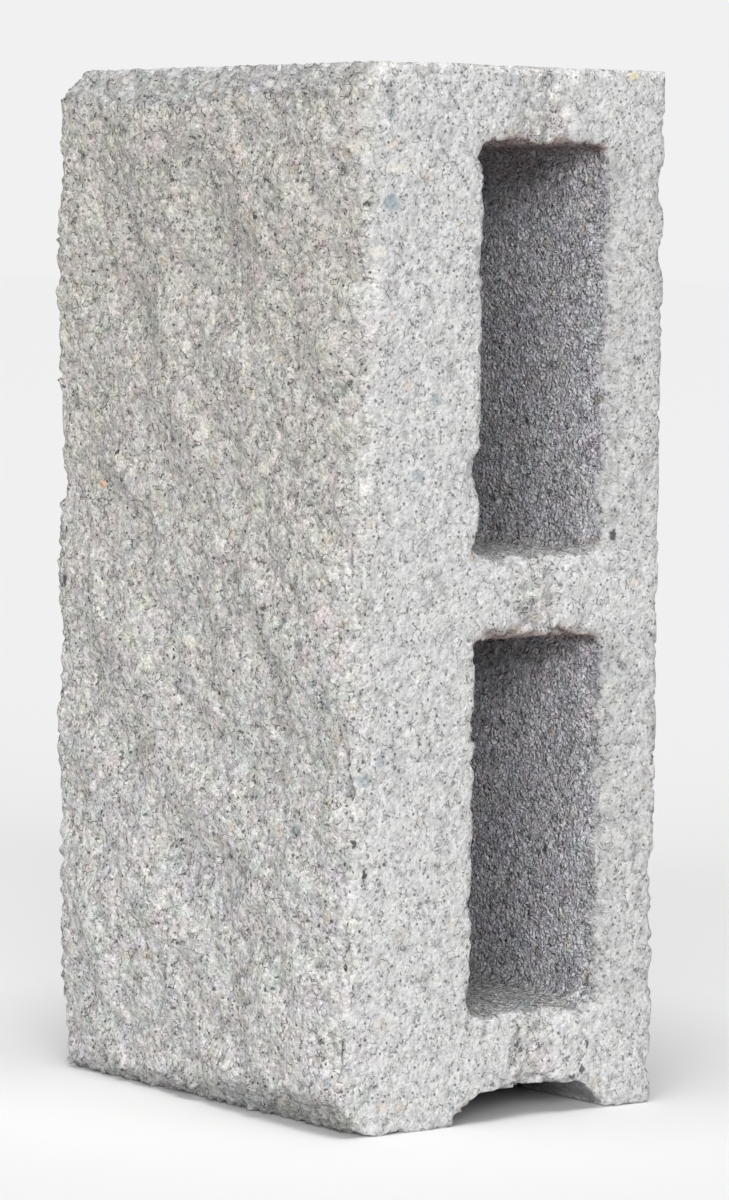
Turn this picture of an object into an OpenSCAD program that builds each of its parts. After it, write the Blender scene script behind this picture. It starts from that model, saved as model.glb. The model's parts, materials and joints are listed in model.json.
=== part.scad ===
// Split-face hollow concrete block, standing on its recessed end.
// X runs along the cores, Y from the split face at the front to the smooth back, Z up the
// length. The origin is on the floor, under the middle of the overall box.

/* [Overall] */
// Length of the block, upright as it stands
length = 397; // [330:1:450]
// Height of the course that the block builds, which is the length of its cores
course = 194; // [150:1:240]
// Width from the back to the highest point of the split face
width = 152; // [135:1:220]

/* [Walls, at the open side] */
// Thickness of the smooth shell at the back
back_shell = 29; // [22:1:45]
// Thickness of the shell behind the highest point of the split face
front_shell = 62; // [45:1:75]
// Thickness of the web at the flat end
flat_end_web = 29; // [22:1:45]
// Thickness of the web between the two cores
centre_web = 32; // [22:1:50]
// Thickness of the web over the recess
recessed_end_web = 30; // [22:1:45]

/* [Cores] */
// Radius of the corners of a core
core_corner = 4; // [2:1:12]
// How far each wall of a core leans in from the open side to the far side
core_draft = 2; // [0:0.5:4]

/* [Core bar marks] */
// Width of the shallow mark that the mould's core bar left across the webs
bar_mark_width = 20; // [8:1:26]
// Depth of that mark
bar_mark_depth = 1; // [0.5:0.1:3]

/* [Recessed end] */
// Depth of the mortar recess between the ears
recess_depth = 11.5; // [6:0.5:20]
// Width of the foot of the ear under the split face
front_ear = 53; // [35:1:60]
// Width of the foot of the ear under the back
back_ear = 21; // [16:1:35]
// How far each side of the recess slopes in over its depth
recess_flank = 14; // [2:1:18]

/* [Split face] */
// Size of the smooth bevel at the flat end, from the highest point of the split face
flat_end_bevel = 15.5; // [4:0.5:24]
// Size of the smooth bevel at the recessed end, from the highest point of the split face
recessed_end_bevel = 13.5; // [3:0.5:20]
// How far the fracture is wrung out of flat at its corners
fracture_twist = 2.7; // [0:0.1:5]
// Height of the ledges that the splitter left
ledge_height = 4.5; // [0:0.5:7]
// Depth of the hollows between the ledges
hollow_depth = 3.5; // [0:0.5:6]
// Height of the broad swells between the ledges
swell_height = 0.8; // [0:0.1:3]
// Spacing of the facets of the fracture
facet_pitch = 11; // [8:1:30]

/* [Hidden] */
$fn = 32;
past = 10; // how far a cut runs on past the faces that it opens

front_y = -width / 2;
back_y = width / 2;
open_x = course / 2; // the bed face where the cores are widest
far_x = -course / 2;
core_front_y = front_y + front_shell;
core_back_y = back_y - back_shell;
lower_core_z = [recess_depth + recessed_end_web, length / 2 - centre_web / 2];
upper_core_z = [length / 2 + centre_web / 2, length - flat_end_web];

// The ledges of the fracture: [x, z of its middle, direction, half its length, its share of
// ledge_height]. x is a share of half the course, z a share of the length, and the face
// steps out on the left of the direction.
ledges = [
    [-0.14, 0.942, -46, 24, 1.0],
    [ 0.56, 0.851, -31, 28, 0.8],
    [ 0.17, 0.806, -58, 22, 0.8],
    [ 0.24, 0.690, -72, 28, 1.0],
    [-0.33, 0.567, -37, 48, 0.6],
    [ 0.62, 0.445, -62, 24, 0.9],
    [ 0.77, 0.325, -63, 28, 0.8],
    [-0.67, 0.340, -45, 18, 0.5],
    [-0.06, 0.277, -25, 30, 0.6],
    [ 0.21, 0.068, -76, 26, 0.9],
    [ 0.71, 0.705, -87, 24, 0.5],
    [-0.52, 0.166, -14, 20, 0.4],
];
ledge_rise = 4;  // how softly a ledge's flank rises
ledge_fall = 34; // how far behind its crest a ledge sinks back into the face

// The hollows of the fracture: [x, z, radius, its share of hollow_depth], placed as the
// ledges. A negative share is a hump.
hollows = [
    [ 1.00, 0.815, 40, 1.0],
    [ 1.00, 0.430, 45, -0.5],
    [ 1.00, 0.150, 55, -0.4],
    [-1.00, 0.030, 40, 0.8],
    [-0.62, 0.700, 45, 0.4],
    [ 0.15, 0.400, 50, 0.4],
    [-0.30, 0.150, 35, 0.4],
];

// The swells of the fracture: [length of the wave, its direction, its phase, its share of
// swell_height]
swells = [
    [191,  62,  20, 1.0],
    [118, 128, 200, 0.8],
    [ 83,  20,  75, 0.6],
];

function ledge_at(x, z, l) =
    let (
        dx = x - l[0] * course / 2,
        dz = z - l[1] * length,
        along = dx * cos(l[2]) + dz * sin(l[2]),
        across = dz * cos(l[2]) - dx * sin(l[2]),
        rise = 1 / (1 + exp(-across / ledge_rise)),
        fall = exp(-max(across, 0) / ledge_fall)
    )
    l[4] * ledge_height * rise * fall * exp(-pow(along / l[3], 4));

function swell_at(x, z, s) =
    s[3] * swell_height * sin(360 * (x * cos(s[1]) + z * sin(s[1])) / s[0] + s[2]);

function hollow_at(x, z, h) =
    let (dx = x - h[0] * course / 2, dz = z - h[1] * length)
    -h[3] * hollow_depth * exp(-(dx * dx + dz * dz) / (h[2] * h[2]));

function total(values, i = 0) = i == len(values) ? 0 : values[i] + total(values, i + 1);

// How far the fracture stands out at a point of the face, over an arbitrary plane
function fracture(x, z) =
    total([for (l = ledges) ledge_at(x, z, l)])
    + total([for (h = hollows) hollow_at(x, z, h)])
    + total([for (s = swells) swell_at(x, z, s)])
    + fracture_twist * (x / (course / 2)) * (1 - 2 * z / length);

// The grid of the fracture runs one facet past the block on every side
columns = ceil(course / facet_pitch) + 2;
rows = ceil(length / facet_pitch) + 2;
function column_x(i) = (i - columns / 2) * course / (columns - 2);
function row_z(j) = (j - 1) * length / (rows - 2);

// The highest point that the bevels leave, which is where the overall width is measured
fracture_peak = max([
    for (i = [1 : columns - 1], j = [0 : rows])
        if (row_z(j) > recessed_end_bevel + 4 && row_z(j) < length - flat_end_bevel - 4)
            fracture(column_x(i), row_z(j))
]);
function split_y(x, z) = front_y + fracture_peak - fracture(x, z);

// A core's outline: a rectangle with round corners, from low corner to high corner in Y and Z,
// drawn in in all four walls by the draft
module core_outline(z_range, draw_in) {
    inset = draw_in + core_corner;
    for (y = [core_front_y + inset, core_back_y - inset], z = [z_range[0] + inset, z_range[1] - inset])
        translate([y, z]) circle(r = core_corner);
}

// Stands a flat outline of Y and Z up on the X axis, as a slice of the given thickness
module slice_across(x, thickness) {
    translate([x, 0, 0]) rotate([90, 0, 90]) linear_extrude(height = thickness) children();
}

// One core, tapered from the open side to the far side. The draft runs on through the ends.
module core(z_range) {
    run_on = core_draft * past / course;
    hull() {
        slice_across(open_x + past, 0.01) core_outline(z_range, -run_on);
        slice_across(far_x - past, 0.01) core_outline(z_range, core_draft + run_on);
    }
}

// The block's outline in Y and Z: bevels at the front, the recess and its ears below
module outline() {
    polygon([
        [front_y, recessed_end_bevel],
        [front_y + recessed_end_bevel, 0],
        [front_y + front_ear, 0],
        [front_y + front_ear + recess_flank, recess_depth],
        [back_y - back_ear - recess_flank, recess_depth],
        [back_y - back_ear, 0],
        [back_y, 0],
        [back_y, length],
        [front_y + flat_end_bevel, length],
        [front_y, length - flat_end_bevel],
    ]);
}

// The mark of the core bar, a shallow groove that runs up the middle of the open side
module bar_mark() {
    middle_y = (core_front_y + core_back_y) / 2;
    translate([open_x - bar_mark_depth, middle_y - bar_mark_width / 2, -past])
        cube([bar_mark_depth + past, bar_mark_width, length + 2 * past]);
}

// What the splitter broke away: everything in front of the fracture, as facets
module broken_away() {
    near_y = front_y - past;
    x_ends = [column_x(0), column_x(columns)];
    z_ends = [row_z(0), row_z(rows)];
    function at(i, j) = i * (rows + 1) + j;
    first_corner = (columns + 1) * (rows + 1);
    points = concat(
        [for (i = [0 : columns], j = [0 : rows])
            [column_x(i), split_y(column_x(i), row_z(j)), row_z(j)]],
        [for (x = x_ends, z = z_ends) [x, near_y, z]]
    );
    left_low = first_corner;
    left_high = first_corner + 1;
    right_low = first_corner + 2;
    right_high = first_corner + 3;
    faces = concat(
        [for (i = [0 : columns - 1], j = [0 : rows - 1]) [at(i, j), at(i + 1, j), at(i + 1, j + 1)]],
        [for (i = [0 : columns - 1], j = [0 : rows - 1]) [at(i, j), at(i + 1, j + 1), at(i, j + 1)]],
        [
            [for (i = [columns : -1 : 0]) at(i, 0), left_low, right_low],
            [for (i = [0 : columns]) at(i, rows), right_high, left_high],
            [for (j = [0 : rows]) at(0, j), left_high, left_low],
            [for (j = [rows : -1 : 0]) at(columns, j), right_low, right_high],
            [right_low, left_low, left_high, right_high],
        ]
    );
    polyhedron(points = points, faces = faces);
}

module block() {
    color([0.78, 0.77, 0.74])
    difference() {
        slice_across(far_x, course) outline();
        core(lower_core_z);
        core(upper_core_z);
        bar_mark();
        broken_away();
    }
}

block();
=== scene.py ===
"""A split-face hollow concrete block on a plain studio floor.

The block is one casting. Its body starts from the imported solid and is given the
grain of real block concrete: a coarse fracture on the split face, open-textured
moulded faces, knobbly core walls and crumbled arrises.
"""

import json
import logging
import math
from dataclasses import dataclass, field
from enum import Enum
from functools import partial, reduce

import bmesh
import bpy
import numpy as np
from mathutils import Matrix, Vector, noise


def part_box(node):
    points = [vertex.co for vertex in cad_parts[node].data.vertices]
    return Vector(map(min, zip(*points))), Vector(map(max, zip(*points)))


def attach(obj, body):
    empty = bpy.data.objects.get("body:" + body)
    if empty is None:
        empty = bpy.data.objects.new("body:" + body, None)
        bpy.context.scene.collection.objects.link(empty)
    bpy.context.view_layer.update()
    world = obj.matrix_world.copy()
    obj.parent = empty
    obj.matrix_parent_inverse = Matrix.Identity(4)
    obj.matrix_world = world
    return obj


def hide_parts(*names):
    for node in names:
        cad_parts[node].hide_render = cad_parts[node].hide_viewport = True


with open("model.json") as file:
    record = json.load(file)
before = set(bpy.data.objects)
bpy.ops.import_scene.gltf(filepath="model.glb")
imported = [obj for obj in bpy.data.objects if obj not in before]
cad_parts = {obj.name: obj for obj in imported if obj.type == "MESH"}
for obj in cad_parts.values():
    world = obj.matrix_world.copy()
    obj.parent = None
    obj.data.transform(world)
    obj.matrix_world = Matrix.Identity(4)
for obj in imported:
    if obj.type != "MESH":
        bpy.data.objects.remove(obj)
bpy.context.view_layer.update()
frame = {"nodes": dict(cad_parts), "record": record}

logging.basicConfig(level=logging.INFO, format="%(message)s")
log = logging.getLogger("block")

MM = 0.001
Colour = tuple[float, float, float]
Point = tuple[float, float, float]
Socket = bpy.types.NodeSocket
Feed = Socket | float | Colour


class Skin(Enum):
    """The kinds of patch on the block's surface: how each was formed, or where shade or shadow is
    painted.
    """

    SPLIT = "split"
    CORE = "core"
    BAR_MARK = "bar_mark"
    BAND = "band"
    # painted shadow on the cores' ceilings and in the wedge below them
    CEILING_SHADOW = "ceiling_shadow"
    SHELF = "shelf"
    # lips behind and over the mouths, painted darker
    LIP = "lip"
    # painted shade in the end recess
    RECESS_SHADE = "recess"
    # painted shade in the hollows of the skin
    CAVITY_SHADE = "cavity_shade"


def smoothstep(values: np.ndarray, start: float, end: float) -> np.ndarray:
    """Ramps smoothly from 0 at start to 1 at end, which may be lower than start."""
    t = np.clip((values - start) / (end - start), 0.0, 1.0)
    return t * t * (3.0 - 2.0 * t)


def window(
    values: np.ndarray, rise: float, risen: float, fall: float, fallen: float
) -> np.ndarray:
    """Ramps up from 0 at rise to 1 at risen, and back down from 1 at fall to 0 at fallen."""
    return smoothstep(values, rise, risen) * smoothstep(values, fallen, fall)


def soft_noise(points: np.ndarray, size: float, seed: float, octaves: int = 1) -> np.ndarray:
    """Smooth noise, scaled so that its spread about 0 is 1.

    Args:
        points: Places in metres, one a row.
        size: How wide the largest lumps are, in metres.
        seed: Picks a part of the noise of its own.
        octaves: How many finer layers it has.

    Returns:
        One value a point.
    """
    fade, finer = 0.9, 2.1
    rows = (points / size + seed).tolist()
    if octaves == 1:
        values = np.array([noise.noise(row) for row in rows])
    else:
        values = np.array([noise.fractal(row, fade, finer, octaves) for row in rows])
    return values / values.std()


def pebble_noise(points: np.ndarray, size: float, seed: float) -> tuple[np.ndarray, np.ndarray]:
    """Cells that stand for stones in the matrix.

    Args:
        points: Places in metres, one a row.
        size: How far apart the stones are, in metres.
        seed: Picks a pattern of its own.

    Returns:
        How far each point is inside its stone's edge, from 0 up to about 1, and a
        random share from 0 to 1 that is the same all over one stone.
    """
    shuffle, spread = 7.31, 3.7
    rows = (points / size + seed).tolist()
    found = [noise.voronoi(row) for row in rows]
    edge = np.array([f[0][1] - f[0][0] for f in found])
    share = np.array([noise.cell(f[1][0] * shuffle) for f in found])
    return edge, np.mod(np.abs(share) * spread, 1.0)


@dataclass(frozen=True)
class Layout:
    """Where the block's features are, in metres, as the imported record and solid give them."""

    low: Vector
    high: Vector
    cores: tuple[tuple[Vector, Vector], ...]
    recess: tuple[Vector, Vector]
    flat_bevel: float = 15.5 * MM
    recessed_bevel: float = 13.5 * MM
    bar_width: float = 20 * MM
    broken_lip: Point = (97 * MM, 15 * MM, 11.5 * MM)
    fracture_depth: float = 5 * MM
    core_margin: float = 7 * MM

    @classmethod
    def from_frame(cls, record: dict) -> "Layout":
        """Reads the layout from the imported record.

        Args:
            record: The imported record.

        Returns:
            The layout.
        """
        low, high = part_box("block")
        openings = record["physics"]["openings"]
        boxes = {o["name"]: tuple(Vector(c) for c in o["box_m"]) for o in openings}
        cores = (boxes["upper_core"], boxes["lower_core"])
        return cls(low, high, cores, boxes["end_recess"])

    @property
    def core_middle_y(self) -> float:
        """The middle of the cores' width."""
        return (self.cores[0][0].y + self.cores[0][1].y) / 2

    def masks(self, points: np.ndarray, normals: np.ndarray) -> dict[Skin, np.ndarray]:
        """Tells how each point of the surface was formed, and where shadow and shade are painted on
        it.

        Args:
            points: Places on the surface, one a row.
            normals: The way that the surface faces at each.

        Returns:
            A share from 0 to 1 for each point, by kind of skin.
        """
        x, y, z = points.T
        depth = y - self.low.y
        not_on_bed = smoothstep(np.abs(normals[:, 0]), 0.75, 0.45)
        in_front = smoothstep(depth, 15 * MM, 12 * MM) * smoothstep(-normals[:, 1], 0.15, 0.5)
        over_bevels = smoothstep(
            depth + self.high.z - z - self.flat_bevel, 0.8 * MM, 2.6 * MM
        )
        over_bevels *= smoothstep(depth + z - self.recessed_bevel, 0.8 * MM, 2.6 * MM)
        core = np.zeros(len(points))
        for low, high in self.cores:
            inside = self._near_core(y, low.y, high.y) & self._near_core(z, low.z, high.z)
            core = np.maximum(core, inside * not_on_bed)
        half_bar = self.bar_width / 2
        from_bar = np.abs(y - self.core_middle_y)
        bar = smoothstep(from_bar, half_bar + 1 * MM, half_bar - 1 * MM)
        bar *= smoothstep(x, self.high.x - 3.2 * MM, self.high.x - 1.6 * MM) * (1 - core)
        # painted shade: the end recess's ceiling and flanks, short of the open ends
        low, high = self.recess
        recess = smoothstep(z, high.z + 4 * MM, high.z + 2 * MM)
        recess *= np.abs(x) < self.high.x - 1 * MM
        recess *= window(y, low.y - 14 * MM, low.y - 9 * MM, high.y + 9 * MM, high.y + 15 * MM)
        recess *= smoothstep(np.abs(normals[:, 0]), 0.85, 0.45)
        return {
            Skin.SPLIT: in_front * over_bevels,
            Skin.CORE: core,
            Skin.BAR_MARK: bar,
            Skin.BAND: smoothstep(depth, 17 * MM, 15 * MM) * (1 - over_bevels) * not_on_bed,
            # painted shadow under the cores' ceilings
            Skin.CEILING_SHADOW: self._ceiling_shadows(points, normals, core),
            Skin.SHELF: core * smoothstep(normals[:, 2], 0.35, 0.8),
            # lips behind and over the mouths, painted darker
            Skin.LIP: self._darkened_lips(points),
            # painted shade in the end recess
            Skin.RECESS_SHADE: recess,
        }

    def _near_core(self, values: np.ndarray, low: float, high: float) -> np.ndarray:
        """Tells which values lie between a core's two sides or close around them."""
        return (values > low - self.core_margin) & (values < high + self.core_margin)

    def _ceiling_shadows(
        self, points: np.ndarray, normals: np.ndarray, core: np.ndarray
    ) -> np.ndarray:
        """Picks out the cores' ceilings and the wedge below them, where shadow is painted, darker
        deeper in from the mouth.

        Args:
            points: Places on the surface, one a row.
            normals: The way that the surface faces at each.
            core: How far each point is in a core.

        Returns:
            A share from 0 to 1.
        """
        x, y, z = points.T
        shadow_wedge_share = 0.85
        deep_in = smoothstep(x, self.high.x - 12 * MM, self.high.x - 110 * MM)
        faces_down = smoothstep(-normals[:, 2], 0.2, 0.7)
        ceiling_shadow = np.zeros(len(points))
        for low, high in self.cores:
            across = self._near_core(y, low.y, high.y) & (z < high.z + 9 * MM)
            under = smoothstep(z, high.z - 9 * MM, high.z + 2 * MM) * faces_down
            # painted shadow wedge hanging below each ceiling
            shadow_wedge = smoothstep(z, high.z - 13 * MM, high.z - 1 * MM) * core * shadow_wedge_share
            ceiling_shadow = np.maximum(ceiling_shadow, across * np.maximum(shadow_wedge * deep_in, under))
        return ceiling_shadow

    def _darkened_lips(self, points: np.ndarray) -> np.ndarray:
        """Picks out the lips behind and over the open side's mouths, which the finish paints
        darker.

        Args:
            points: Places on the surface, one a row.

        Returns:
            A share from 0 to 1.
        """
        x, y, z = points.T
        at_mouth = smoothstep(x, self.high.x - 10 * MM, self.high.x - 4 * MM)
        shell_share, top_share = 0.35, 0.6
        darkened = np.zeros(len(points))
        for low, high in self.cores:
            near_mouth = smoothstep(y, high.y + 21 * MM, high.y + 7 * MM)
            back = smoothstep(y, high.y - 1 * MM, high.y + 4 * MM)
            back *= shell_share + (1 - shell_share) * near_mouth
            back *= window(z, low.z - 10 * MM, low.z, high.z - 2 * MM, high.z + 8 * MM)
            top = window(z, high.z + 1 * MM, high.z + 4 * MM, high.z + 6 * MM, high.z + 12 * MM)
            top *= top_share * (y > low.y + 2 * MM)
            top *= smoothstep(y, high.y + 9 * MM, high.y + 4 * MM)
            darkened = np.maximum(darkened, np.maximum(back, top) * at_mouth)
        return darkened

    def near_arris(self, points: np.ndarray, reach: float) -> np.ndarray:
        """Picks out the arris between the open side and the split face.

        Args:
            points: Places on the surface, one a row.
            reach: How far from it the share falls to 0, in metres.

        Returns:
            A share from 0 to 1.
        """
        x, y, _ = points.T
        depth = self.fracture_depth
        share = smoothstep(x, self.high.x - reach, self.high.x - 0.3 * reach)
        return share * smoothstep(y - self.low.y, depth + reach, depth + 0.3 * reach)

    def sharp_lips(self, points: np.ndarray) -> list[np.ndarray]:
        """Picks out the front lips of the open side's mouths, which are sharper and fuller.

        Args:
            points: Places on the surface, one a row.

        Returns:
            A share from 0 to 1 for each point, for each core.
        """
        x, y, z = points.T
        at_mouth = smoothstep(x, self.high.x - 14 * MM, self.high.x - 4 * MM)
        shares = []
        for low, high in self.cores:
            beside = smoothstep(np.abs(y - low.y), 7 * MM, 2 * MM)
            inside = window(z, low.z, low.z + 8 * MM, high.z - 8 * MM, high.z)
            shares.append(at_mouth * beside * inside)
        return shares

    def worn_lips(self, points: np.ndarray) -> np.ndarray:
        """Picks out the lips of the open side's mouths that have worn rounder than the others.

        Args:
            points: Places on the surface, one a row.

        Returns:
            A share from 0 to 1, which is 1 at the back lips and less at the lower ones.
        """
        x, y, z = points.T
        lower_share = 0.5
        worn = np.zeros(len(points))
        at_mouth = smoothstep(x, self.high.x - 18 * MM, self.high.x - 8 * MM)
        for low, high in self.cores:
            inside_y = (y > low.y - 4 * MM) * smoothstep(y, high.y + 20 * MM, high.y + 12 * MM)
            inside_z = window(z, low.z - 18 * MM, low.z - 11 * MM, high.z - 9 * MM, high.z)
            back = smoothstep(y, high.y - 6 * MM, high.y)
            lower = smoothstep(z, low.z + 6 * MM, low.z) * lower_share
            worn = np.maximum(worn, np.maximum(back, lower) * inside_y * inside_z)
        return worn * at_mouth


@dataclass
class SurfaceMesh:
    """A dense closed mesh as arrays, so that its points can be moved together."""

    mesh: bpy.types.Mesh
    points: np.ndarray = field(init=False)
    normals: np.ndarray = field(init=False)
    edges: np.ndarray = field(init=False)

    def __post_init__(self) -> None:
        """Reads the arrays from the mesh."""
        flat = np.empty(len(self.mesh.vertices) * 3)
        self.mesh.vertices.foreach_get("co", flat)
        self.points = flat.reshape(-1, 3).copy()
        pairs = np.empty(len(self.mesh.edges) * 2, dtype=np.int64)
        self.mesh.edges.foreach_get("vertices", pairs)
        self.edges = pairs.reshape(-1, 2)
        self.read_normals()

    def read_normals(self) -> None:
        """Reads the vertex normals again after the points moved."""
        flat = np.empty(len(self.mesh.vertices) * 3)
        self.mesh.vertices.foreach_get("normal", flat)
        self.normals = flat.reshape(-1, 3).copy()

    def write(self) -> None:
        """Puts the moved points back into the mesh."""
        self.mesh.vertices.foreach_set("co", self.points.ravel())
        self.mesh.update()
        self.read_normals()

    def averaged(self, values: np.ndarray, rounds: int) -> np.ndarray:
        """Averages each point's values with its neighbours', some number of times.

        Args:
            values: One row a point.
            rounds: How many times.

        Returns:
            The averaged rows.
        """
        a, b = self.edges.T
        count = len(values)
        degree = np.bincount(a, minlength=count) + np.bincount(b, minlength=count)
        result = values.copy()
        for _ in range(rounds):
            columns = [
                np.bincount(a, result[b, k], count) + np.bincount(b, result[a, k], count)
                for k in range(result.shape[1])
            ]
            result = 0.5 * result + 0.5 * np.stack(columns, 1) / degree[:, None]
        return result


@dataclass(frozen=True)
class Chip:
    """A place where an arris has lost more than its crumbs, in millimetres."""

    middle: Point
    radius: float
    share: float

    def cover(self, points: np.ndarray) -> np.ndarray:
        """The share of the arris that is lost at each of some places in metres."""
        away = np.linalg.norm(points / MM - np.array(self.middle), axis=1) / self.radius
        return self.share * smoothstep(away, 1.0, 0.35)


@dataclass(frozen=True)
class Wear:
    """How the arrises have crumbled. Sizes are in metres, swells in millimetres."""

    near_rounds: int = 8
    wide_rounds: int = 60
    crumb_size: float = 3.4 * MM
    lump_size: float = 8.5 * MM
    chip_size: float = 16 * MM
    arris_reach: float = 14 * MM
    arris_share: float = 0.5
    edge_share: float = 0.7
    hollow_share: float = 0.3
    sharp_share: float = 0.3
    bar_share: float = 0.8
    upper_swell: float = 2.3
    lower_swell: float = 0.7
    ragged: float = 0.45


@dataclass(frozen=True)
class Fracture:
    """The fine relief of the split face. Sizes are in metres, heights in millimetres."""

    sheet_turn: float = -48.0
    sheet_squeeze: float = 0.42
    sheet_size: float = 26 * MM
    sway_size: float = 14 * MM
    broad_size: float = 42 * MM
    stone_size: float = 7 * MM
    stone_warp: float = 1.4 * MM
    fine_size: float = 3.2 * MM
    step_height: float = 0.75
    broad_height: float = 1.25
    stone_height: float = 1.2
    fine_height: float = 0.36
    sink: float = 0.2
    far_calm: float = 0.6
    far_hollow: float = 1.6
    far_hollow_z: float = 325.0
    far_hollow_reach: float = 42.0

    def heights(self, p: np.ndarray, far_x: float) -> np.ndarray:
        """How far each place stands out, on top of the solid's ledges.

        Args:
            p: Places on the skin, one a row.
            far_x: Where the far side is.

        Returns:
            Heights in millimetres.
        """
        turned = p @ np.array(Matrix.Rotation(math.radians(self.sheet_turn), 3, "Y"))
        streaks = turned * np.array([1.0, 1.0, self.sheet_squeeze])
        sway = soft_noise(p, self.sway_size, 29.0, 2)
        sheets = 1.5 * soft_noise(streaks, self.sheet_size, 3.0, 2) + 0.5 * sway
        steps = np.floor(sheets) + smoothstep(np.mod(sheets, 1.0), 0.5, 1.0)
        broad = soft_noise(p, self.broad_size, 17.0, 2)
        warped = p + self.stone_warp * np.stack([broad, sway, -broad], 1)
        edge, share = pebble_noise(warped, self.stone_size, 41.0)
        stones = (share - 0.4) * self.stone_height * smoothstep(edge, 0.02, 0.35)
        fine = soft_noise(p, self.fine_size, 57.0, 3)
        far = smoothstep(p[:, 0], far_x + 32 * MM, far_x + 8 * MM)
        from_hollow = (p[:, 2] / MM - self.far_hollow_z) / self.far_hollow_reach
        hollow = self.far_hollow * (far * np.exp(-(from_hollow**2)))
        large = (self.step_height * steps + self.broad_height * broad) * (1 - self.far_calm * far)
        return large - hollow + stones + self.fine_height * fine - self.sink


@dataclass
class Block:
    """The block itself: one casting."""

    layout: Layout
    name: str = "concrete_block"
    node: str = "block"
    slot: str = "concrete"
    grain: float = 1.35 * MM
    quick_coarseness: float = 2.0
    most_triangles: int = 196_000
    wear: Wear = Wear()
    fracture: Fracture = Fracture()
    chips: tuple[Chip, ...] = (
        Chip((97, 76, 353), 10, 0.6),
        Chip((97, 76, 327), 8, 0.45),
        Chip((97, 76, 85), 9, 0.3),
        Chip((97, 76, 49), 8, 0.35),
        Chip((97, -14, 246), 11, 0.9),
        Chip((97, -14, 150), 8, 0.4),
        Chip((97, -14, 82), 7, 0.4),
    )
    piece: bpy.types.Object = field(init=False)

    def build(self) -> bpy.types.Object:
        """Makes the casting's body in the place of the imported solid.

        Returns:
            The finished piece, riding on the frame.
        """
        self.piece = bpy.data.objects.new(self.name, self._merged_copy())
        bpy.context.scene.collection.objects.link(self.piece)
        self._remesh(self.grain * (1.0))
        surface = SurfaceMesh(self.piece.data)
        self._crumble_arrises(surface)
        self._roughen(surface)
        self._break_lip(surface)
        self._keep_in_box(surface)
        self._thin()
        self._keep_in_box(SurfaceMesh(self.piece.data))
        self._mark_skins()
        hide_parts(self.node)
        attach(self.piece, "root")
        return self.piece

    def _merged_copy(self) -> bpy.types.Mesh:
        """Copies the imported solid's mesh with its loose corners merged.

        Returns:
            The copy.
        """
        mesh = frame["nodes"][self.node].data.copy()
        mesh.name = self.name
        mesh.materials.clear()
        bm = bmesh.new()
        bm.from_mesh(mesh)
        bmesh.ops.remove_doubles(bm, verts=bm.verts, dist=0.005 * MM)
        bm.to_mesh(mesh)
        bm.free()
        for attribute in [a for a in mesh.attributes if not a.is_required and not a.is_internal]:
            mesh.attributes.remove(attribute)
        return mesh

    def _apply(self) -> None:
        """Makes the modifiers' result the piece's own mesh."""
        bpy.context.view_layer.update()
        evaluated = self.piece.evaluated_get(bpy.context.evaluated_depsgraph_get())
        mesh = bpy.data.meshes.new_from_object(evaluated)
        old = self.piece.data
        self.piece.modifiers.clear()
        self.piece.data = mesh
        bpy.data.meshes.remove(old)
        mesh.name = self.name

    def _remesh(self, voxel: float) -> None:
        """Rebuilds the skin from even small faces.

        Args:
            voxel: The size of the faces, in metres.
        """
        remesh = self.piece.modifiers.new("grain", "REMESH")
        remesh.mode = "VOXEL"
        remesh.voxel_size = voxel
        self._apply()

    def _crumble_arrises(self, surface: SurfaceMesh) -> None:
        """Wears the sharp edges unevenly, a little nearly everywhere and more in some places.

        Args:
            surface: The skin, which is changed.
        """
        wear, layout = self.wear, self.layout
        p, n = surface.points, surface.normals
        near = surface.averaged(p, wear.near_rounds) - p
        wide = surface.averaged(p, wear.wide_rounds) - p
        rounded = surface.averaged(p + wide, wear.wide_rounds) - p
        convex = (np.einsum("ij,ij->i", n, near) < 0)[:, None]
        edge, share = pebble_noise(p, wear.crumb_size, 11.0)
        crumbs = smoothstep(share, 0.62, 0.70) * smoothstep(edge, 0.0, 0.10) * (0.1 + 1.7 * share)
        edge, share = pebble_noise(p, wear.lump_size, 5.0)
        lumps = smoothstep(share, 0.85, 0.90) * smoothstep(edge, 0.0, 0.25) * 2.0
        losses = smoothstep(soft_noise(p, wear.chip_size, 31.0, 3), 1.3, 2.5) * 0.8
        lips = self._worn_share(p)
        kept = 1 - wear.edge_share * np.clip(lips, 0, 1)
        move = near * (kept * (crumbs + lumps))[:, None] + wide * (losses * kept)[:, None]
        move += rounded * lips[:, None]
        upper, lower = layout.sharp_lips(p)
        unworn = 1 - np.clip(lips, 0, 1)
        move *= (1 - wear.sharp_share * np.maximum(upper, lower) * unworn)[:, None]
        inner = wear.hollow_share * near + rounded * lips[:, None]
        surface.points = p + np.where(convex, move, inner)
        from_bar = np.abs(np.abs(p[:, 1] - layout.core_middle_y) - layout.bar_width / 2)
        bar_edge = smoothstep(from_bar, 6 * MM, 3 * MM)
        bar_edge *= smoothstep(p[:, 0], layout.high.x - 5 * MM, layout.high.x - 2.5 * MM)
        surface.points += wide * (bar_edge * wear.bar_share)[:, None]
        ragged = wear.ragged * soft_noise(p, 5 * MM, 53.0, 2)
        swell = upper * (wear.upper_swell + ragged) + lower * (wear.lower_swell + ragged)
        surface.points[:, 1] += swell * MM
        surface.write()

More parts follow.
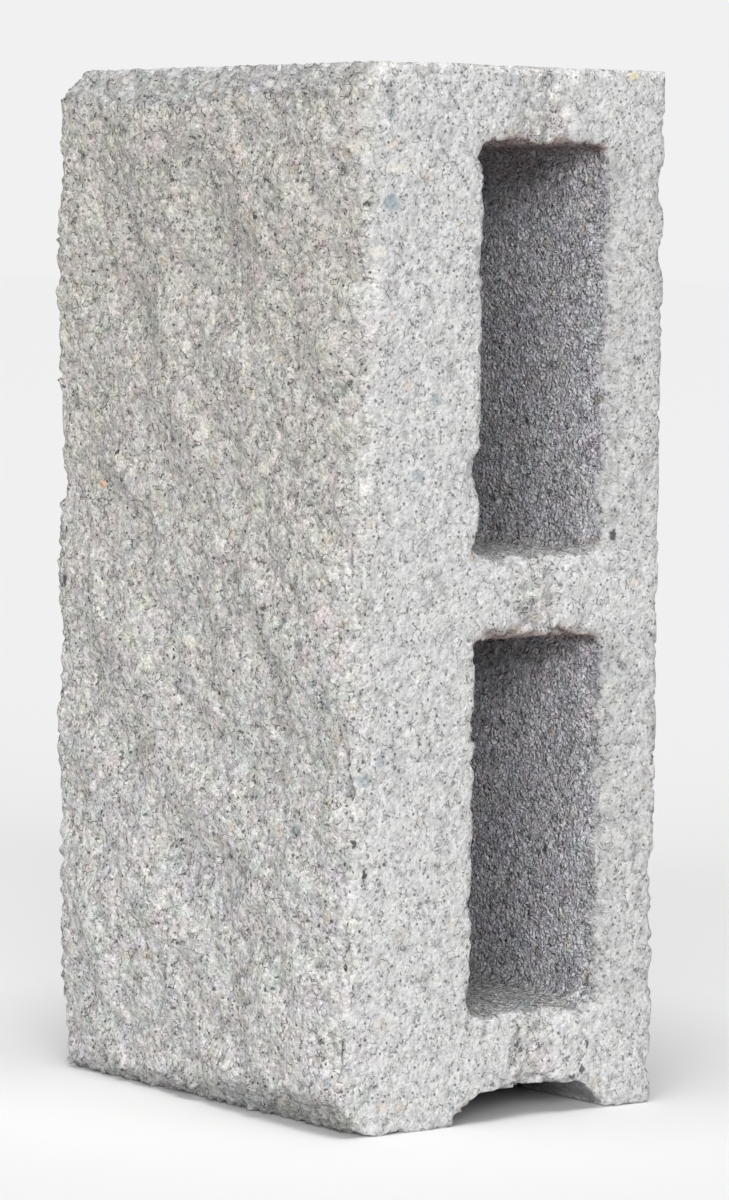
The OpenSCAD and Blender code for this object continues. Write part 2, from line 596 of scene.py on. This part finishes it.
    def _worn_share(self, p: np.ndarray) -> np.ndarray:
        """Tells where the arrises are worn well round: lips, the near arris and the chips.

        Args:
            p: Places on the skin, one a row.

        Returns:
            One share a point, about 1 where an arris is well rounded.
        """
        arris = self.wear.arris_share * self.layout.near_arris(p, self.wear.arris_reach)
        uneven = 0.95 + 0.22 * soft_noise(p, 10 * MM, 61.0, 2)
        worn = np.maximum(self.layout.worn_lips(p), arris) * uneven
        sway = np.stack([soft_noise(p, 5 * MM, seed) for seed in (15.0, 25.0, 35.0)], 1)
        swayed = p + 1.5 * MM * sway
        return np.maximum(worn, np.max([chip.cover(swayed) for chip in self.chips], axis=0))

    def _roughen(self, surface: SurfaceMesh) -> None:
        """Gives each kind of skin its own relief.

        Args:
            surface: The skin, which is changed.
        """
        p, n = surface.points, surface.normals
        low, high = self.layout.low, self.layout.high
        masks = self.layout.masks(p, n)
        split, core, band = masks[Skin.SPLIT], masks[Skin.CORE], masks[Skin.BAND]
        moulded = np.clip(1 - split - core - band, 0, 1)
        grain, waves = soft_noise(p, 3.5 * MM, 2.0, 2), soft_noise(p, 14 * MM, 9.0)
        out = moulded * (0.12 * grain + 0.12 * waves - 0.12)
        out -= moulded * smoothstep(soft_noise(p, 5.5 * MM, 71.0), 1.4, 2.4)
        out += masks[Skin.BAR_MARK] * (0.6 * soft_noise(p, 4.0 * MM, 14.0, 2) - 0.35)
        out += band * (0.85 * soft_noise(p, 4.5 * MM, 37.0, 3) - 0.3)
        edge, _ = pebble_noise(p, 4.0 * MM, 23.0)
        knobs = 0.7 * smoothstep(edge, 0.0, 0.45) - 0.6
        out += core * (knobs + 0.15 * soft_noise(p, 9 * MM, 8.0))
        out += split * self.fracture.heights(p, low.x)
        surface.points = p + n * (out * MM)[:, None]
        crest = smoothstep(p[:, 2], high.z - 5 * MM, high.z - 1 * MM)
        crest *= smoothstep(p[:, 1] - low.y, 34 * MM, 22 * MM)
        losses = np.maximum(soft_noise(p, 6 * MM, 91.0, 2), 0)
        surface.points[:, 2] -= crest * losses * 0.7 * MM

    def _break_lip(self, surface: SurfaceMesh) -> None:
        """Breaks a bite out of the lip over the end recess.

        Args:
            surface: The skin, which is changed.
        """
        p = surface.points
        push = np.array([-4.5, 0.0, 1.6])
        offset = (p - np.array(self.layout.broken_lip)) / MM
        front_reach, back_reach = 7.0, 14.0
        reach_y = np.where(offset[:, 1] < 0, front_reach, back_reach)
        offset /= np.stack([np.full(len(p), 9.0), reach_y, np.full(len(p), 7.5)], 1)
        away = np.linalg.norm(offset, axis=1) + 0.15 * soft_noise(p, 3 * MM, 88.0)
        bite = smoothstep(away, 1.0, 0.35)
        surface.points = p + bite[:, None] * push * MM

    def _keep_in_box(self, surface: SurfaceMesh) -> None:
        """Stops any point at the solid's own box and writes the points to the mesh.

        Args:
            surface: The skin, which is changed.
        """
        low, high = np.array(self.layout.low), np.array(self.layout.high)
        surface.points = np.clip(surface.points, low, high)
        surface.write()

    def _thin(self) -> None:
        """Takes triangles away where the skin is flattest, down to the piece's budget."""
        self.piece.data.calc_loop_triangles()
        count = len(self.piece.data.loop_triangles)
        if count > self.most_triangles:
            thin = self.piece.modifiers.new("thin", "DECIMATE")
            thin.ratio = self.most_triangles / count
            self._apply()
        log.info("block skin: %d faces, %d once thinned", count, len(self.piece.data.polygons))

    def _mark_skins(self) -> None:
        """Stores on each point how it was formed and where shade is painted, for the finish to
        read.
        """
        mesh = self.piece.data
        mesh.shade_smooth()
        surface = SurfaceMesh(mesh)
        points, normals = surface.points, surface.normals
        masks = self.layout.masks(points, normals)
        # painted shade: how far each point lies sunk in a hollow of the skin
        sunk = surface.averaged(points, 4) - points
        masks[Skin.CAVITY_SHADE] = np.einsum("ij,ij->i", normals, sunk) / (0.3 * MM)
        low_y = self.layout.low.y + self.layout.fracture_depth
        past_arris = self.layout.high.x - points[:, 0] - np.maximum(points[:, 1] - low_y, 0)
        past_arris += 3 * MM * soft_noise(points, 12 * MM, 73.0, 2)
        front = np.maximum(masks[Skin.SPLIT], self.layout.near_arris(points, 22 * MM))
        masks[Skin.SPLIT] = front * smoothstep(past_arris, -16 * MM, 9 * MM)
        for skin, values in masks.items():
            attribute = mesh.attributes.new(skin.value, "FLOAT", "POINT")
            attribute.data.foreach_set("value", values.astype(np.float32))


class NodeSheet:
    """Adds shader nodes to a material and wires them together."""

    def __init__(self, name: str) -> None:
        """Starts an empty material.

        Args:
            name: The material's name.
        """
        self.material = bpy.data.materials.new(name)
        self.material.use_nodes = True
        self.tree = self.material.node_tree
        self.tree.nodes.clear()
        self.place = self.tree.nodes.new("ShaderNodeTexCoord").outputs["Object"]

    def add(self, kind: str, settings: dict | None = None, **inputs: Feed) -> bpy.types.Node:
        """Adds one node.

        Args:
            kind: The node's type name.
            settings: Properties of the node itself.
            **inputs: Values or output sockets by input name, with _ for a space.

        Returns:
            The node.
        """
        node = self.tree.nodes.new(kind)
        for key, value in (settings or {}).items():
            setattr(node, key, value)
        for key, value in inputs.items():
            self.feed(node.inputs[key.replace("_", " ")], value)
        return node

    def feed(self, socket: Socket, value: Feed) -> None:
        """Links an output to a socket, or sets the socket's own value.

        Args:
            socket: The input to feed.
            value: An output, a number or a triple.
        """
        if isinstance(value, Socket):
            self.tree.links.new(value, socket)
        elif isinstance(value, tuple) and socket.type == "RGBA":
            socket.default_value = (*value, 1.0)
        else:
            socket.default_value = value

    def _operate(self, kind: str, operation: str, values: tuple[Feed, ...]) -> bpy.types.Node:
        """Adds a node that works on some values.

        Args:
            kind: The node's type name.
            operation: What it does.
            values: Its inputs, in their order.

        Returns:
            The node.
        """
        node = self.add(kind, {"operation": operation})
        for socket, value in zip(node.inputs, values):
            self.feed(socket, value)
        return node

    def maths(self, operation: str, *values: Feed) -> Socket:
        """One Math node, as its output."""
        return self._operate("ShaderNodeMath", operation, values).outputs[0]

    def highest(self, *values: Feed) -> Socket:
        """The highest of some values."""
        return reduce(partial(self.maths, "MAXIMUM"), values)

    def vector(self, operation: str, *values: Feed) -> Socket:
        """One Vector Math node, as its output, which is a number for LENGTH."""
        node = self._operate("ShaderNodeVectorMath", operation, values)
        return node.outputs["Value" if operation == "LENGTH" else "Vector"]

    def ramp(
        self, value: Feed, low: float, high: float, to_low: float = 0.0, to_high: float = 1.0
    ) -> Socket:
        """Maps a value smoothly from one range to another.

        Args:
            value: The output to map.
            low: Where the ramp starts.
            high: Where it ends.
            to_low: Its value at the start.
            to_high: Its value at the end.

        Returns:
            The mapped output.
        """
        settings = {"interpolation_type": "SMOOTHSTEP", "clamp": True}
        inputs = {"Value": value, "From_Min": low, "From_Max": high}
        node = self.add("ShaderNodeMapRange", settings, **inputs, To_Min=to_low, To_Max=to_high)
        return node.outputs["Result"]

    def mix(self, share: Feed, a: Feed, b: Feed, blend: str = "MIX") -> Socket:
        """Mixes two colours.

        Args:
            share: How much of b shows.
            a: The first colour.
            b: The second colour.
            blend: How b is laid on a.

        Returns:
            The mixed colour.
        """
        settings = {"data_type": "RGBA", "blend_type": blend, "clamp_factor": True}
        node = self.add("ShaderNodeMix", settings)
        share_and_colours, result = (0, 6, 7), 2
        for index, value in zip(share_and_colours, (share, a, b)):
            self.feed(node.inputs[index], value)
        return node.outputs[result]

    def channel(self, colour: Socket, index: int) -> Socket:
        """One of a colour's three channels."""
        return self.add("ShaderNodeSeparateColor", {}, Color=colour).outputs[index]

    def noise(
        self, size: float, detail: float = 2.0, roughness: float = 0.5, warp: float = 0.0
    ) -> Socket:
        """Noise with lumps of about a size in metres, as an output from 0 to 1."""
        inputs = {"Scale": 1.0 / size, "Detail": detail, "Roughness": roughness, "Distortion": warp}
        return self.add("ShaderNodeTexNoise", {}, Vector=self.place, **inputs).outputs[0]

    def noise_colour(self, size: float, detail: float) -> Socket:
        """Noise of its own in each channel, with lumps of about a size in metres."""
        inputs = {"Vector": self.place, "Scale": 1.0 / size, "Detail": detail}
        return self.add("ShaderNodeTexNoise", {}, **inputs).outputs["Color"]

    def cells(self, size: float, feature: str, place: Socket | None = None) -> bpy.types.Node:
        """A cell pattern with cells of about a size in metres."""
        inputs = {"Vector": place or self.place, "Scale": 1.0 / size}
        return self.add("ShaderNodeTexVoronoi", {"feature": feature}, **inputs)

    def warped(self, size: float, amount: float) -> Socket:
        """The place, pushed about so that patterns on it lose their straight lines."""
        centred = self.vector("SUBTRACT", self.noise_colour(size, 2.0), (0.5, 0.5, 0.5))
        return self.vector("ADD", self.place, self.vector("MULTIPLY", centred, (amount,) * 3))

    def skin(self, skin: Skin) -> Socket:
        """How far a point of the piece is of one kind of skin."""
        return self.add("ShaderNodeAttribute", {"attribute_name": skin.value}).outputs["Fac"]

    def finish(self, colour: Socket, roughness: float, bump: Socket) -> bpy.types.Material:
        """Wires the shader up.

        Args:
            colour: The base colour.
            roughness: How rough it is.
            bump: The normal, from a Bump node.

        Returns:
            The material.
        """
        inputs = {"Base_Color": colour, "Roughness": roughness, "Normal": bump}
        shader = self.add("ShaderNodeBsdfPrincipled", {}, **inputs, Specular_IOR_Level=0.25)
        output = self.add("ShaderNodeOutputMaterial")
        self.tree.links.new(shader.outputs[0], output.inputs["Surface"])
        return self.material


@dataclass(frozen=True)
class Marks:
    """Marks of one colour whose places are known, each a middle and a half size in millimetres."""

    colour: Colour
    share: float
    spots: tuple[tuple[Point, Point], ...]


# painted shadow in pits whose places are known
PIT_SHADOWS = Marks(
    (0.06, 0.06, 0.06),
    0.9,
    (
        ((-52.2, -72.0, 248.1), (1.3, 9.0, 1.4)),
        ((-90.8, -72.0, 195.8), (1.2, 9.0, 2.2)),
        ((95.7, -71.0, 344.9), (2.2, 6.0, 1.9)),
        ((3.9, -72.0, 145.0), (0.9, 9.0, 1.7)),
        ((46.5, -72.0, 194.0), (2.2, 9.0, 1.1)),
        ((34.6, -72.0, 339.6), (1.2, 9.0, 0.9)),
        ((97.0, 53.3, 220.5), (4.0, 1.7, 2.1)),
        ((96.0, -70.0, 110.0), (3.0, 1.0, 1.7)),
        ((97.0, -65.3, 98.3), (3.0, 1.1, 1.9)),
    ),
)
WEB_CRACKS = Marks(
    (0.10, 0.10, 0.11),
    0.85,
    (
        ((97.0, 9.3, 38.0), (3.0, 0.7, 2.4)),
        ((97.0, 10.4, 33.6), (3.0, 0.7, 2.4)),
        ((97.0, 9.6, 29.6), (3.0, 0.8, 2.4)),
        ((97.0, 11.4, 26.0), (3.0, 1.2, 1.4)),
        ((97.0, 9.0, 22.6), (3.0, 0.9, 2.4)),
        ((97.0, 12.2, 19.2), (3.0, 0.8, 2.4)),
        ((97.0, 43.0, 25.3), (3.0, 0.9, 1.5)),
        ((97.0, 40.9, 15.5), (3.0, 1.0, 2.2)),
        ((97.0, 36.4, 13.9), (3.0, 1.8, 0.9)),
    ),
)
PALE_STONES = Marks(
    (0.76, 0.725, 0.665),
    0.8,
    (
        ((-8.4, -72.0, 177.5), (4.2, 9.0, 2.5)),
        ((40.6, -72.0, 245.2), (3.0, 9.0, 2.8)),
        ((97.0, -61.8, 327.2), (5.0, 3.8, 2.0)),
        ((97.0, -54.0, 358.0), (5.0, 5.0, 1.8)),
    ),
)
ORANGE_STONE = Marks((0.78, 0.50, 0.35), 0.8, (((-67.7, -72.0, 234.9), (2.3, 9.0, 1.4)),))
BLUE_STONE = Marks((0.32, 0.38, 0.42), 0.8, (((97.0, -56.5, 345.1), (5.0, 3.0, 3.2)),))
YELLOW_SPOT = Marks((0.85, 0.74, 0.42), 0.5, (((97.0, 59.7, 394.6), (4.0, 2.6, 1.6)),))


@dataclass(frozen=True)
class Patterns:
    """The patterns that several parts of the concrete's finish share.

    rough is the share of rough skin, blotch, patch and fine are noise of centimetres, of
    millimetres and finer than a grain, and veins is near 0 along thin winding lines.
    """

    place: Socket
    split: Socket
    core: Socket
    rough: Socket
    blotch: Socket
    patch: Socket
    fine: Socket
    veins: Socket
    grains: bpy.types.Node


@dataclass(frozen=True)
class ConcreteFinish:
    """Open-grained block concrete. Sizes are in metres."""

    matrix_light: Colour = (0.675, 0.673, 0.67)
    matrix_dark: Colour = (0.60, 0.598, 0.598)
    # painted shade colour for crevices, gaps, pinholes and hollows
    crevice_shade: Colour = (0.08, 0.08, 0.08)
    split_tint: Colour = (0.85, 0.82, 0.77)
    split_tint_low: Colour = (0.93, 0.92, 0.905)
    # painted light: a brighter, bluer cast on the core walls, not on their up-facing shelves
    core_wall_light_tint: Colour = (1.06, 1.045, 1.105)
    band_tint: Colour = (0.64, 0.64, 0.63)
    bar_tint: Colour = (0.93, 0.92, 0.90)
    # painted shadow colour for the cores' ceilings and the wedge below them
    ceiling_shadow_tint: Colour = (0.60, 0.50, 0.47)
    # darkening for the lips behind and over the mouths
    lip_tint: Colour = (0.74, 0.74, 0.735)
    # painted shade colour for the end recess's surfaces
    recess_shade_tint: Colour = (0.40, 0.40, 0.41)
    white_stone: Colour = (0.72, 0.71, 0.68)
    tan_stone: Colour = (0.60, 0.55, 0.49)
    blue_stone: Colour = (0.36, 0.40, 0.43)
    pressed_wide: Point = (0.88, 0.88, 1.0)
    roughness: float = 0.93
    blotch_size: float = 20 * MM
    patch_size: float = 5 * MM
    fine_size: float = 0.9 * MM
    vein_size: float = 2.6 * MM
    grain_size: float = 1.8 * MM
    hue_size: float = 9 * MM
    stone_size: float = 7 * MM
    crack_size: float = 3.2 * MM
    cluster_size: float = 4.2 * MM
    crowd_size: float = 8 * MM
    speck_size: float = 1.2 * MM
    gap_size: float = 2.7 * MM
    pinhole_size: float = 3.6 * MM
    marks: tuple[Marks, ...] = (
        PIT_SHADOWS, WEB_CRACKS, PALE_STONES, ORANGE_STONE, BLUE_STONE, YELLOW_SPOT
    )

    def make(self) -> bpy.types.Material:
        """Builds the finish.

        Returns:
            The material.
        """
        s = NodeSheet("block_concrete")
        p = self._patterns(s)
        colour = s.mix(s.ramp(p.patch, 0.3, 0.7), self.matrix_dark, self.matrix_light)
        colour = s.mix(s.ramp(p.blotch, 0.3, 0.7, 0.0, 0.2), colour, self.matrix_light)
        hue_share = s.maths("MULTIPLY_ADD", p.rough, 0.17, 0.07)
        colour = s.mix(hue_share, colour, s.noise_colour(self.hue_size, 1.0), "SOFT_LIGHT")
        colour = self._stones(s, p, colour)
        colour = self._speckle(s, p, colour)
        # painted shade in the crevices, laid over the concrete's own patchy stain
        dark_share = s.maths("MULTIPLY_ADD", p.rough, 0.16, 0.76)
        dark = s.maths("MULTIPLY", self._shaded_crevices(s, p), dark_share)
        colour = s.mix(dark, colour, self.crevice_shade)
        colour = self._tints(s, p, colour)
        # painted shade in the hollows of the skin
        colour = s.mix(s.ramp(s.skin(Skin.CAVITY_SHADE), 0.2, 1.6, 0.0, 0.22), colour, self.crevice_shade)
        return s.finish(self._marks(s, colour), self.roughness, self._bump(s, p))

    def _patterns(self, s: NodeSheet) -> Patterns:
        """Lays out the shared patterns.

        Args:
            s: The material's nodes.

        Returns:
            The patterns.
        """
        split, core = s.skin(Skin.SPLIT), s.skin(Skin.CORE)
        place = s.vector("MULTIPLY", s.warped(2.4 * MM, 1.5 * MM), self.pressed_wide)
        around_half = s.maths("SUBTRACT", s.noise(self.vein_size, 1.0, 0.5, 0.8), 0.5)
        return Patterns(
            place=place,
            split=split,
            core=core,
            rough=s.highest(split, core, s.skin(Skin.BAND), s.skin(Skin.BAR_MARK)),
            blotch=s.noise(self.blotch_size, 3.0, 0.6),
            patch=s.noise(self.patch_size, 3.0, 0.6),
            fine=s.noise(self.fine_size, 2.0, 0.7),
            veins=s.maths("ABSOLUTE", around_half),
            grains=s.cells(self.grain_size, "F1", place),
        )

    @staticmethod
    def _bump(s: NodeSheet, p: Patterns) -> Socket:
        """Raises the grains a little over the gaps between them.

        Args:
            s: The material's nodes.
            p: The shared patterns.

        Returns:
            The bumped normal.
        """
        grains = s.ramp(p.grains.outputs["Distance"], 0.7, 0.0)
        height = s.maths("MULTIPLY_ADD", p.fine, 0.7, grains)
        height = s.maths("MULTIPLY_ADD", p.patch, 1.2, height)
        worms = s.maths("MULTIPLY", s.ramp(p.veins, 0.0, 0.10), p.core)
        height = s.maths("MULTIPLY_ADD", worms, 0.8, height)
        height = s.maths("MULTIPLY", height, s.maths("MULTIPLY_ADD", p.split, 0.22, 0.38))
        height = s.maths("MULTIPLY", height, s.maths("MULTIPLY_ADD", p.core, 2.2, 1.0))
        bump = s.add("ShaderNodeBump", {}, Strength=1.0, Distance=1.0 * MM, Height=height)
        return bump.outputs[0]

    @staticmethod
    def _speckle(s: NodeSheet, p: Patterns, colour: Socket) -> Socket:
        """Makes each grain of sand lighter or darker than the next.

        Args:
            s: The material's nodes.
            p: The shared patterns.
            colour: The colour so far.

        Returns:
            The speckled colour.
        """
        pick = s.maths("SUBTRACT", s.channel(p.grains.outputs["Color"], 1), 0.5)
        ripple = s.maths("SUBTRACT", s.ramp(p.fine, 0.25, 0.75), 0.5)
        swing = s.maths("MULTIPLY_ADD", p.rough, 0.16, 0.24)
        value = s.maths("MULTIPLY_ADD", s.maths("MULTIPLY_ADD", ripple, 1.3, pick), swing, 1.0)
        grey = s.add("ShaderNodeCombineColor", {}, Red=value, Green=value, Blue=value)
        return s.mix(1.0, colour, grey.outputs[0], "MULTIPLY")

    def _shaded_crevices(self, s: NodeSheet, p: Patterns) -> Socket:
        """The dark between the grains, painted shade: short crooked lines, specks, gaps and
        pinholes, plus a patchy stain off the cores.

        Args:
            s: The material's nodes.
            p: The shared patterns.

        Returns:
            How dark each place is, from 0 to about 1.
        """
        cracks = s.cells(self.crack_size, "DISTANCE_TO_EDGE", p.place).outputs["Distance"]
        cluster = s.noise(self.cluster_size, 2.0)
        line = s.maths("MULTIPLY", s.ramp(cracks, 0.10, 0.03), s.ramp(cluster, 0.48, 0.57))
        vein = s.maths("MULTIPLY", s.ramp(p.veins, 0.024, 0.006), s.ramp(cluster, 0.50, 0.60))
        lines = s.maths("MULTIPLY", s.highest(line, vein), s.ramp(p.fine, 0.44, 0.54))
        crowd = s.ramp(s.noise(self.crowd_size, 2.0), 0.42, 0.60)
        band = s.skin(Skin.BAND)
        open_skins = s.highest(band, s.skin(Skin.BAR_MARK), s.skin(Skin.LIP))
        more = s.maths("MULTIPLY", open_skins, 0.16)
        specks = s.cells(self.speck_size, "F1", p.place)
        chosen = s.maths("ADD", s.channel(specks.outputs["Color"], 0), more)
        chosen = s.ramp(s.maths("MULTIPLY_ADD", band, 0.08, chosen), 0.81, 0.94)
        speck = s.maths("MULTIPLY", s.ramp(specks.outputs["Distance"], 0.50, 0.28), chosen)
        speck = s.maths("MULTIPLY", speck, s.maths("MULTIPLY_ADD", crowd, 0.55, 0.25))
        dark = s.highest(lines, speck, self._pinholes(s), self._gaps(s, p, crowd, more))
        stain = s.ramp(p.patch, 0.44, 0.32, 0.0, 0.22)
        return s.maths("MULTIPLY_ADD", stain, s.maths("SUBTRACT", 1.0, p.core), dark)

    def _gaps(self, s: NodeSheet, p: Patterns, crowd: Socket, more: Socket) -> Socket:
        """Painted shade in the ragged gaps of a millimetre or two where the matrix hasn't closed
        around the sand.

        Args:
            s: The material's nodes.
            p: The shared patterns.
            crowd: Where the dark marks crowd together.
            more: How many more gaps some skins have.

        Returns:
            How dark each place is, from 0 to 1.
        """
        cells = s.cells(self.gap_size, "F1", s.warped(1.5 * MM, 2.2 * MM))
        pick = s.maths("MULTIPLY_ADD", p.split, 0.05, s.channel(cells.outputs["Color"], 2))
        chosen = s.ramp(s.maths("ADD", pick, more), 0.72, 0.84)
        inside = s.ramp(cells.outputs["Distance"], 0.38, 0.22)
        off_core = s.maths("MULTIPLY_ADD", p.core, -0.8, 0.9)
        return s.maths(
            "MULTIPLY", s.maths("MULTIPLY", inside, chosen), s.maths("MULTIPLY", crowd, off_core)
        )

    def _pinholes(self, s: NodeSheet) -> Socket:
        """A scatter of small holes, painted dark as shade.

        Args:
            s: The material's nodes.

        Returns:
            How dark each place is, from 0 to 1.
        """
        holes = s.cells(self.pinhole_size, "F1")
        chosen = s.ramp(s.channel(holes.outputs["Color"], 0), 0.80, 0.82)
        return s.maths("MULTIPLY", s.ramp(holes.outputs["Distance"], 0.21, 0.12), chosen)

    def _marks(self, s: NodeSheet, colour: Socket) -> Socket:
        """Lays the stones, the painted shadow in pits, and the cracks of the web, whose places are
        known.

        Args:
            s: The material's nodes.
            colour: The colour so far.

        Returns:
            The colour with the marks.
        """
        place = s.warped(1.8 * MM, 3.2 * MM)
        far_away = 9.0
        for mark in self.marks:
            nearest: Feed = far_away
            for middle, half in mark.spots:
                apart = s.vector("SUBTRACT", place, tuple(c * MM for c in middle))
                scaled = s.vector("MULTIPLY", apart, tuple(1.0 / (c * MM) for c in half))
                nearest = s.maths("MINIMUM", nearest, s.vector("LENGTH", scaled))
            colour = s.mix(s.ramp(nearest, 1.25, 0.75, 0.0, mark.share), colour, mark.colour)
        return colour

    def _tints(self, s: NodeSheet, p: Patterns, colour: Socket) -> Socket:
        """Gives each kind of skin its own cast, among them painted shadow under the cores'
        ceilings, painted shade in the end recess and painted light on the core walls.

        Args:
            s: The material's nodes.
            p: The shared patterns.
            colour: The colour so far.

        Returns:
            The tinted colour.
        """
        height = s.add("ShaderNodeSeparateXYZ", {}, Vector=s.place).outputs["Z"]
        height = s.maths("MULTIPLY_ADD", p.blotch, 0.12, height)
        split_tint = s.mix(s.ramp(height, 0.12, 0.40), self.split_tint_low, self.split_tint)
        bar_patches = s.ramp(s.noise(6 * MM, 2.0), 0.35, 0.6)
        lip_patches = s.ramp(s.noise(4 * MM, 2.0), 0.3, 0.6, 0.5, 1.0)
        for share, tint in (
            (p.split, split_tint),
            # painted light on the core walls, their up-facing shelves left out
            (s.maths("SUBTRACT", p.core, s.skin(Skin.SHELF)), self.core_wall_light_tint),
            (s.skin(Skin.BAND), self.band_tint),
            (s.maths("MULTIPLY", s.skin(Skin.BAR_MARK), bar_patches), self.bar_tint),
            # painted shadow under the cores' ceilings
            (s.skin(Skin.CEILING_SHADOW), self.ceiling_shadow_tint),
            # painted shade in the end recess
            (s.skin(Skin.RECESS_SHADE), self.recess_shade_tint),
            # lips behind and over the mouths, painted darker in patches
            (s.maths("MULTIPLY", s.skin(Skin.LIP), lip_patches), self.lip_tint),
        ):
            colour = s.mix(share, colour, s.mix(1.0, colour, tint, "MULTIPLY"))
        return colour

    def _stones(self, s: NodeSheet, p: Patterns, colour: Socket) -> Socket:
        """Lays the few stones whose colour stands out over the matrix.

        Args:
            s: The material's nodes.
            p: The shared patterns.
            colour: The colour so far.

        Returns:
            The colour with the stones.
        """
        cells = s.cells(self.stone_size, "F1", p.place)
        inside = s.ramp(cells.outputs["Distance"], 0.40, 0.28)
        kinds = ((0.84, self.white_stone), (0.93, self.tan_stone), (0.975, self.blue_stone))
        for index, (threshold, stone) in enumerate(kinds):
            pick = s.channel(cells.outputs["Color"], index)
            chosen = s.ramp(pick, threshold, threshold + 0.01, 0.0, 0.7)
            colour = s.mix(s.maths("MULTIPLY", inside, chosen), colour, stone)
        return colour


@dataclass(frozen=True)
class FloorFinish:
    """Plain pale studio floor."""

    colour: Colour = (0.88, 0.88, 0.88)
    roughness: float = 0.95
    shine: float = 0.1

    def make(self) -> bpy.types.Material:
        """Builds the finish.

        Returns:
            The material.
        """
        material = bpy.data.materials.new("studio_floor")
        material.use_nodes = True
        shader = material.node_tree.nodes["Principled BSDF"]
        shader.inputs["Base Color"].default_value = (*self.colour, 1.0)
        shader.inputs["Roughness"].default_value = self.roughness
        shader.inputs["Specular IOR Level"].default_value = self.shine
        return material


@dataclass(frozen=True)
class SoftLight:
    """One large, soft, distant light, which lights the whole floor evenly."""

    name: str
    towards: Vector
    strength: float
    spread: float
    distance: float = 2.0

    def build(self) -> None:
        """Hangs the light."""
        light = bpy.data.lights.new(self.name, "SUN")
        light.energy = self.strength * math.pi
        light.angle = math.radians(self.spread)
        lamp = bpy.data.objects.new(self.name, light)
        turn = (-self.towards).to_track_quat("-Z", "Y").to_matrix().to_4x4()
        place = self.towards.normalized() * self.distance
        lamp.matrix_world = Matrix.Translation(place) @ turn
        bpy.context.scene.collection.objects.link(lamp)


@dataclass(frozen=True)
class Viewpoint:
    """Where the camera stands: it faces the arris between the split face and the open bed face.

    Angles are in degrees, lengths in metres, and the lens and sensor in millimetres.
    """

    azimuth: float = 52.26
    looks_down: float = 4.18
    roll: float = 0.68
    distance: float = 1.816
    lens: float = 148.86
    sensor: float = 36.0
    sees_up_to: float = 100.0
    aside: float = 3.3 * MM
    height: float = 200.1 * MM
    split_plane_depth: float = 4.8 * MM

    def build(self, layout: Layout) -> bpy.types.Object:
        """Sets the camera up.

        Args:
            layout: The block's layout.

        Returns:
            The camera.
        """
        turn, down = math.radians(self.azimuth), math.radians(self.looks_down)
        level = math.cos(down)
        forward = Vector((-math.sin(turn) * level, math.cos(turn) * level, -math.sin(down)))
        right = Vector((math.cos(turn), math.sin(turn), 0.0))
        up = right.cross(forward)
        arris = Vector((layout.high.x, layout.low.y + self.split_plane_depth, self.height))
        place = Matrix.Translation(arris + right * self.aside - forward * self.distance)
        basis = Matrix((right, up, -forward)).transposed().to_4x4()
        data = bpy.data.cameras.new("camera")
        data.sensor_fit = "VERTICAL"
        data.sensor_height = self.sensor
        data.lens = self.lens
        data.clip_end = self.sees_up_to
        camera = bpy.data.objects.new("camera", data)
        camera.matrix_world = place @ basis @ Matrix.Rotation(math.radians(self.roll), 4, "Z")
        bpy.context.scene.collection.objects.link(camera)
        bpy.context.scene.camera = camera
        return camera


@dataclass(frozen=True)
class Studio:
    """Plain pale floor, soft light and camera."""

    layout: Layout
    floor_size: float = 60.0
    background: float = 0.88
    ambient: float = 0.05
    lights: tuple[SoftLight, ...] = (
        SoftLight("key", Vector((0.82, -0.45, 0.35)), 0.39, 22.0),
        SoftLight("front", Vector((0.560, -0.742, 0.37)), 0.31, 25.0),
        SoftLight("side", Vector((0.173, -0.981, 0.087)), 0.14, 30.0),
        SoftLight("top", Vector((0.123, -0.123, 0.985)), 0.71, 40.0),
    )

    def build(self) -> None:
        """Sets the studio up around the block."""
        self._floor()
        self._surroundings()
        for light in self.lights:
            light.build()
        Viewpoint().build(self.layout)
        bpy.context.scene.view_settings.view_transform = "Standard"
        log.info("studio: floor, camera and %d lights", len(self.lights))

    def _floor(self) -> None:
        """Lays the floor that the block stands on."""
        bm = bmesh.new()
        bmesh.ops.create_grid(bm, x_segments=1, y_segments=1, size=self.floor_size / 2)
        mesh = bpy.data.meshes.new("floor")
        bm.to_mesh(mesh)
        bm.free()
        mesh.materials.append(FloorFinish().make())
        floor = bpy.data.objects.new("floor", mesh)
        bpy.context.scene.collection.objects.link(floor)

    def _surroundings(self) -> None:
        """Makes the room white to look at and dimmer as a light."""
        world = bpy.data.worlds.new("studio")
        bpy.context.scene.world = world
        world.use_nodes = True
        nodes, links = world.node_tree.nodes, world.node_tree.links
        path = nodes.new("ShaderNodeLightPath")
        strength = nodes.new("ShaderNodeMapRange")
        strength.inputs["To Min"].default_value = self.ambient
        strength.inputs["To Max"].default_value = self.background
        links.new(path.outputs["Is Camera Ray"], strength.inputs["Value"])
        links.new(strength.outputs["Result"], nodes["Background"].inputs["Strength"])
        nodes["Background"].inputs["Color"].default_value = (1.0, 1.0, 1.0, 1.0)


def main() -> None:
    """Builds the block and the studio."""
    layout = Layout.from_frame(frame["record"])
    piece = Block(layout).build()
    piece.data.materials.append(ConcreteFinish().make())
    log.info("%s: %d faces", piece.name, len(piece.data.polygons))
    Studio(layout).build()


if __name__ == "__main__":
    main()
